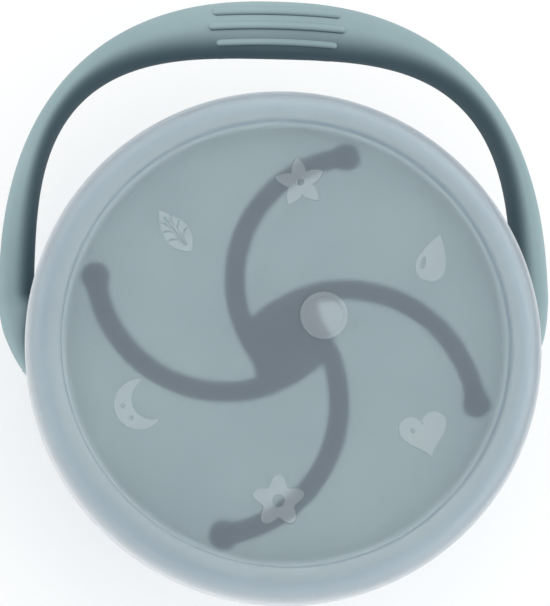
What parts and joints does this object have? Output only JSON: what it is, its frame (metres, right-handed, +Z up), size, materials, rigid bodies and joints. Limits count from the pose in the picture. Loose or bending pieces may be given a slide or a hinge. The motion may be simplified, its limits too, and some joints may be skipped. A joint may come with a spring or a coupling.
{
  "type": "toddler snack container",
  "caption": "Round tapered snack cup with a flapped soft top, a frosted press-on lid and a swinging carrying handle.",
  "frame": {"origin": "centre of the foot, on the surface that the cup stands on", "axes": "+Z up through the lid, +Y towards the folded handle, +X to the right when seen from the front"},
  "size_m": [0.1092, 0.1208, 0.084],
  "materials": {
    "body": "satin moulded polypropylene, blue-grey",
    "soft_top": "matt moulded silicone, pale blue-grey",
    "lid": "frosted translucent polypropylene",
    "handle": "matt soft-touch moulding, blue-grey",
    "pins": "satin moulded plastic"
  },
  "bodies": {
    "cup_body": {"cup": "body", "pivot_pin_left": "pins", "pivot_pin_right": "pins"},
    "top_ring": {"collar": "body", "soft_top_rim": "soft_top"},
    "flap_back": {"flap_back": "soft_top"},
    "flap_left": {"flap_left": "soft_top"},
    "flap_front": {"flap_front": "soft_top"},
    "flap_right": {"flap_right": "soft_top"},
    "lid_body": {"lid": "lid"},
    "handle_body": {"handle": "handle"}
  },
  "joints": [
    {"name": "handle_swing", "type": "hinge", "parent": "cup_body", "child": "handle_body", "pos_m": [0, 0, 0.059], "axis": [1, 0, 0], "range_deg": [0, 180]},
    {"name": "collar_lift", "type": "slide", "parent": "cup_body", "child": "top_ring", "axis": [0, 0, 1], "range_m": [0, 0.03]},
    {"name": "lid_lift", "type": "slide", "parent": "top_ring", "child": "lid_body", "axis": [0, 0, 1], "range_m": [0, 0.04]},
    {"name": "flap_back_bend", "type": "hinge", "parent": "top_ring", "child": "flap_back", "pos_m": [-0.01163, 0.02312, 0.0771], "axis": [0.8934, 0.4493, 0], "range_deg": [0, 45], "stiffness_Nm_per_rad": 0.004, "springref_deg": -2.86},
    {"name": "flap_left_bend", "type": "hinge", "parent": "top_ring", "child": "flap_left", "pos_m": [-0.02312, -0.01163, 0.0771], "axis": [-0.4493, 0.8934, 0], "range_deg": [0, 45], "stiffness_Nm_per_rad": 0.004, "springref_deg": -2.86},
    {"name": "flap_front_bend", "type": "hinge", "parent": "top_ring", "child": "flap_front", "pos_m": [0.01163, -0.02312, 0.0771], "axis": [-0.8934, -0.4493, 0], "range_deg": [0, 45], "stiffness_Nm_per_rad": 0.004, "springref_deg": -2.86},
    {"name": "flap_right_bend", "type": "hinge", "parent": "top_ring", "child": "flap_right", "pos_m": [0.02312, 0.01163, 0.0771], "axis": [0.4493, -0.8934, 0], "range_deg": [0, 45], "stiffness_Nm_per_rad": 0.004, "springref_deg": -2.86}
  ]
}
